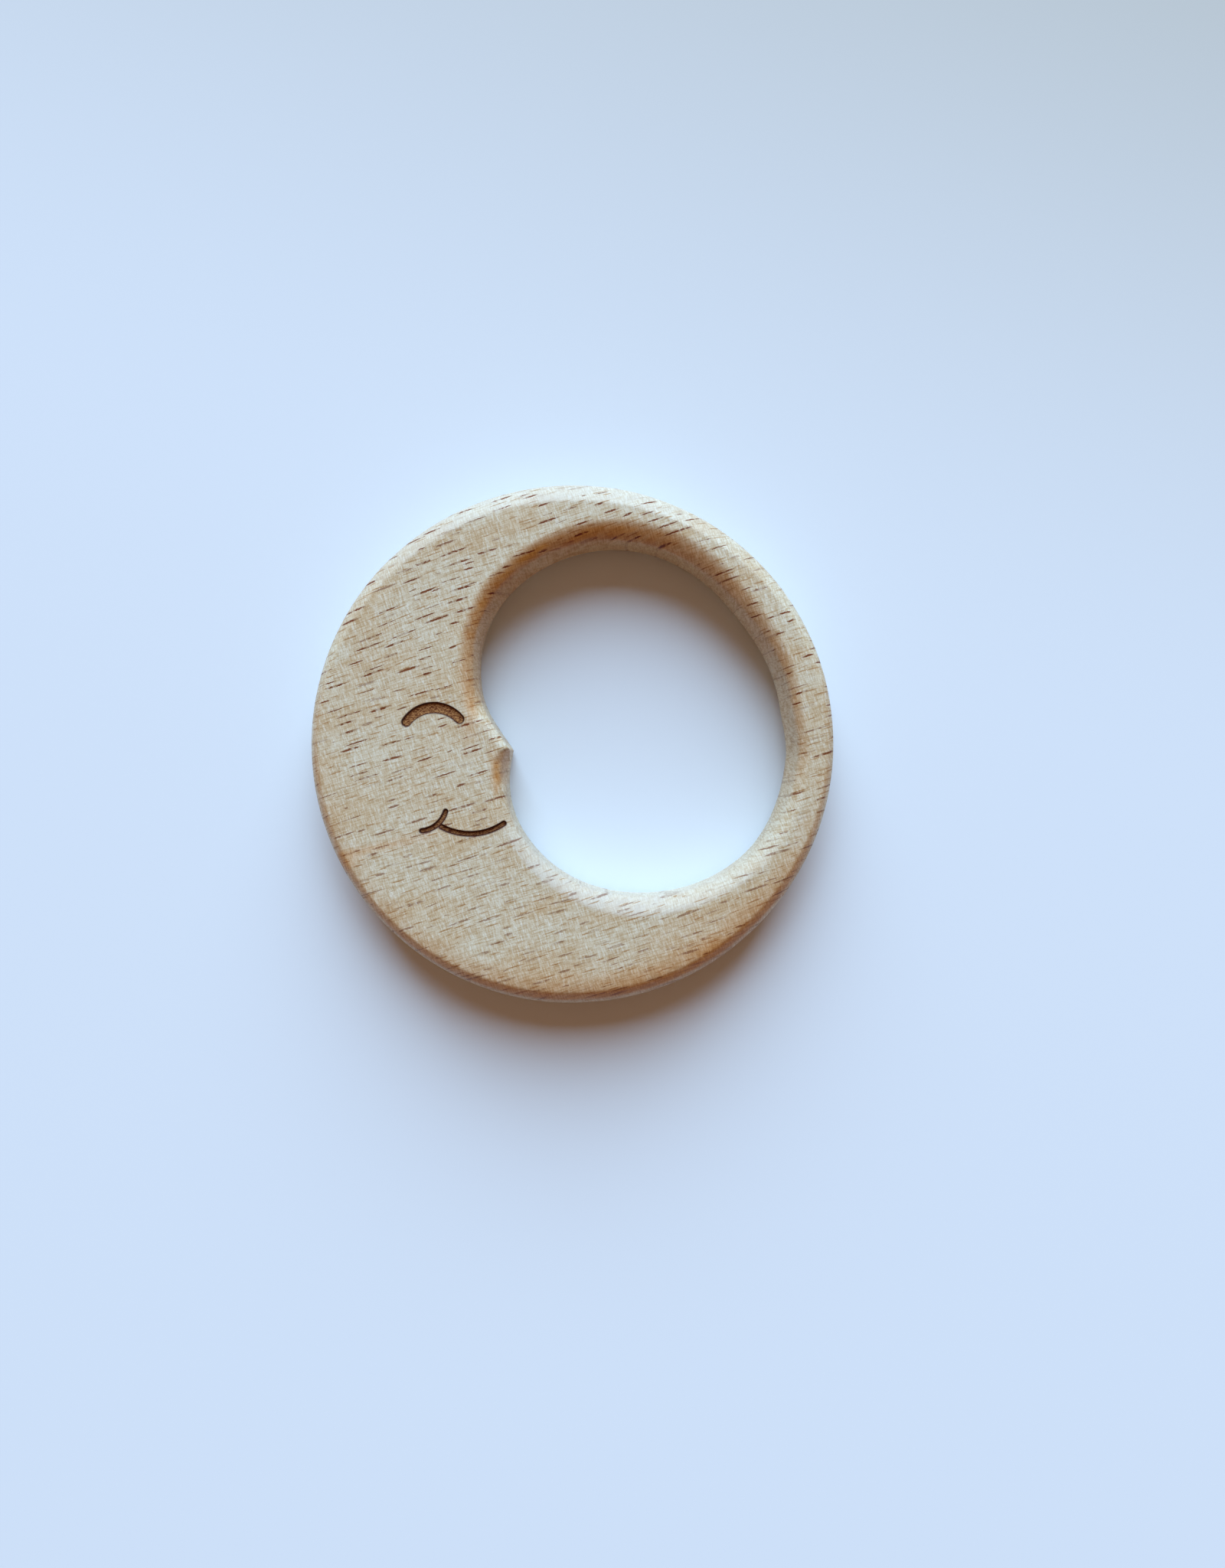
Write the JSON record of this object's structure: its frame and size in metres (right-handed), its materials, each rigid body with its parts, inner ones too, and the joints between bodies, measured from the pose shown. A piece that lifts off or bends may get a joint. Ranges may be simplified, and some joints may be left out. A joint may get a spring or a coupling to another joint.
{
  "type": "teething ring",
  "caption": "Wooden teething ring for a baby: a round crescent moon with a face in profile, a rounded hole and a slim grip, its eye and smile engraved.",
  "frame": {"origin": "middle of the round outline, on the plain back face that the ring rests on", "axes": "+Z out of the engraved front face, +Y from the chin to the brow, +X from the face to the slim grip"},
  "size_m": [0.075, 0.075, 0.011],
  "materials": {
    "beech": "hand-sanded bare beech with a faint oil sheen; the engraved eye and smile are scorched brown"
  },
  "bodies": {
    "root": {"moon_ring": "beech"}
  },
  "joints": []
}
